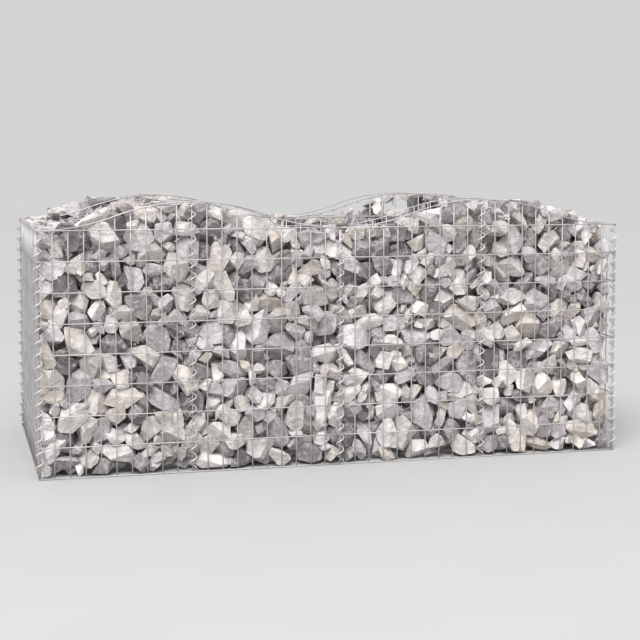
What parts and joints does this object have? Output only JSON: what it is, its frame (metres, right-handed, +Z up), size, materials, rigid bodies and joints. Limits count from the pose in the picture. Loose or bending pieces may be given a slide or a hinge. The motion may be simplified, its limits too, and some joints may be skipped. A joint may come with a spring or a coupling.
{
  "type": "arched gabion raised bed",
  "caption": "Raised garden bed with wavy-topped walls of crushed stone held between two skins of welded wire mesh, open in the middle for soil and plants.",
  "frame": {"origin": "on the ground, in the middle of the bed", "axes": "+X along the long walls, +Y from the front wall to the back wall, +Z up"},
  "size_m": [2.0194, 1.0194, 0.89],
  "materials": {
    "galvanised_wire": "galvanised steel wire, silvery with a dull spangle and grey patches",
    "stone": "angular crushed stone, off-white, pale and mid grey with some beige and dark pieces"
  },
  "bodies": {
    "root": {"back_left_binder": "galvanised_wire", "back_left_corner_binder": "galvanised_wire", "back_left_lining": "galvanised_wire", "back_left_panel": "galvanised_wire", "back_left_stones": "stone", "back_middle_binder": "galvanised_wire", "back_right_binder": "galvanised_wire", "back_right_corner_binder": "galvanised_wire", "back_right_lining": "galvanised_wire", "back_right_panel": "galvanised_wire", "back_right_stones": "stone", "front_left_binder": "galvanised_wire", "front_left_corner_binder": "galvanised_wire", "front_left_lining": "galvanised_wire", "front_left_panel": "galvanised_wire", "front_left_stones": "stone", "front_middle_binder": "galvanised_wire", "front_right_binder": "galvanised_wire", "front_right_corner_binder": "galvanised_wire", "front_right_lining": "galvanised_wire", "front_right_panel": "galvanised_wire", "front_right_stones": "stone", "left_lining": "galvanised_wire", "left_panel": "galvanised_wire", "left_stones": "stone", "right_lining": "galvanised_wire", "right_panel": "galvanised_wire", "right_stones": "stone"}
  },
  "joints": []
}
